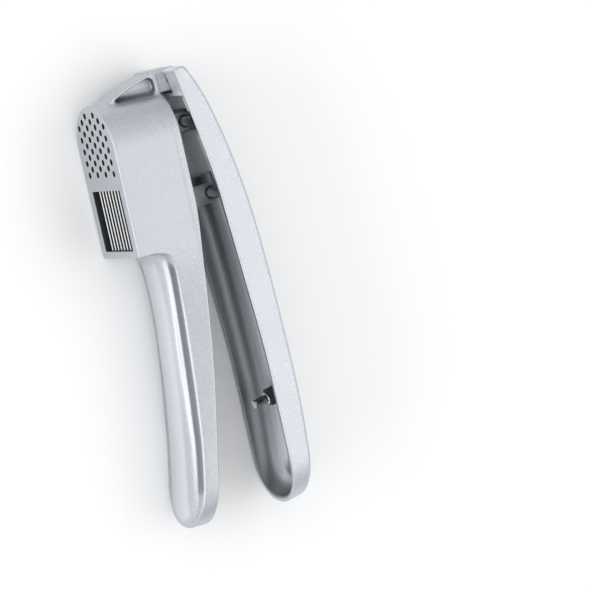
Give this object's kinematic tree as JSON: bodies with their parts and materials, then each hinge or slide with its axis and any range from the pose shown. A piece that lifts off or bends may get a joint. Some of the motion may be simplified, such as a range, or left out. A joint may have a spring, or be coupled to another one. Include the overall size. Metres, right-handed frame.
{
  "type": "garlic press",
  "caption": "Two-in-one garlic press: hinged cast handles, a perforated pressing chamber and a blade slicer in one head, each with its own swinging foot.",
  "frame": {"origin": "on the flat side the tool lies on, under the wall between the two chambers of the head", "axes": "+X from the hinge end to the handle ends, +Y from the perforated face to the back of the upper handle, +Z across the tool's width"},
  "size_m": [0.1916, 0.0603, 0.039],
  "materials": {
    "casting": "bead-blasted, soft matte",
    "pin_steel": "ground steel",
    "blade_steel": "thin ground blades",
    "dark_plastic": "moulded black"
  },
  "bodies": {
    "body": {"body": "casting", "slicer_blade_1": "blade_steel", "slicer_blade_2": "blade_steel", "slicer_blade_3": "blade_steel", "slicer_blade_4": "blade_steel", "slicer_blade_5": "blade_steel", "slicer_blade_6": "blade_steel", "slicer_blade_7": "blade_steel", "slicer_blade_8": "blade_steel"},
    "upper_handle": {"upper_handle": "casting", "hinge_pin": "pin_steel", "press_foot_pin": "pin_steel", "slicer_foot_pin": "pin_steel", "stop_peg": "pin_steel", "peg_collar": "pin_steel", "peg_block": "dark_plastic"},
    "press_foot": {"press_foot": "casting"},
    "slicer_foot": {"slicer_foot": "casting"}
  },
  "joints": [
    {"name": "handle_hinge", "type": "hinge", "parent": "body", "child": "upper_handle", "pos_m": [-0.0375, 0.0228, 0.0195], "axis": [0, 0, 1], "range_deg": [-10.5, 38]},
    {"name": "press_foot_pivot", "type": "hinge", "parent": "upper_handle", "child": "press_foot", "pos_m": [-0.0186, 0.0259, 0.0195], "axis": [0, 0, 1], "range_deg": [-29, 8.1]},
    {"name": "slicer_foot_pivot", "type": "hinge", "parent": "upper_handle", "child": "slicer_foot", "pos_m": [0.0132, 0.0304, 0.0195], "axis": [0, 0, 1], "range_deg": [-24.5, 6.8]}
  ],
  "couplings": [
    {"joint": "press_foot_pivot", "follows": "handle_hinge", "ratio": -0.76},
    {"joint": "slicer_foot_pivot", "follows": "handle_hinge", "ratio": -0.64}
  ]
}
